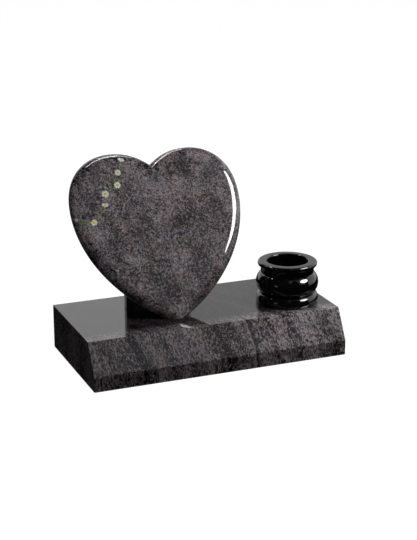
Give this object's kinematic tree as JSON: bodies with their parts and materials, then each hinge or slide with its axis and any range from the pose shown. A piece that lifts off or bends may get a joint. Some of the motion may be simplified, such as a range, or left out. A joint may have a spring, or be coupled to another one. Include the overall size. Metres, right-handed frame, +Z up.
{
  "type": "heart headstone",
  "caption": "Polished granite memorial: a heart-shaped plate with a rounded edge leans back on a round block, on a splay-fronted base with a turned vase.",
  "frame": {"origin": "centre of the base's underside, on the ground", "axes": "+Z up, -Y out of the sloping front, +X to the viewer's right along the base, towards the vase"},
  "size_m": [0.762, 0.3913, 0.5651],
  "materials": {
    "granite_base": null,
    "granite_heart": null,
    "granite_support": null,
    "granite_vase": null
  },
  "bodies": {
    "root": {"base": "granite_base", "heart": "granite_heart", "support_block": "granite_support", "vase": "granite_vase"}
  },
  "joints": []
}
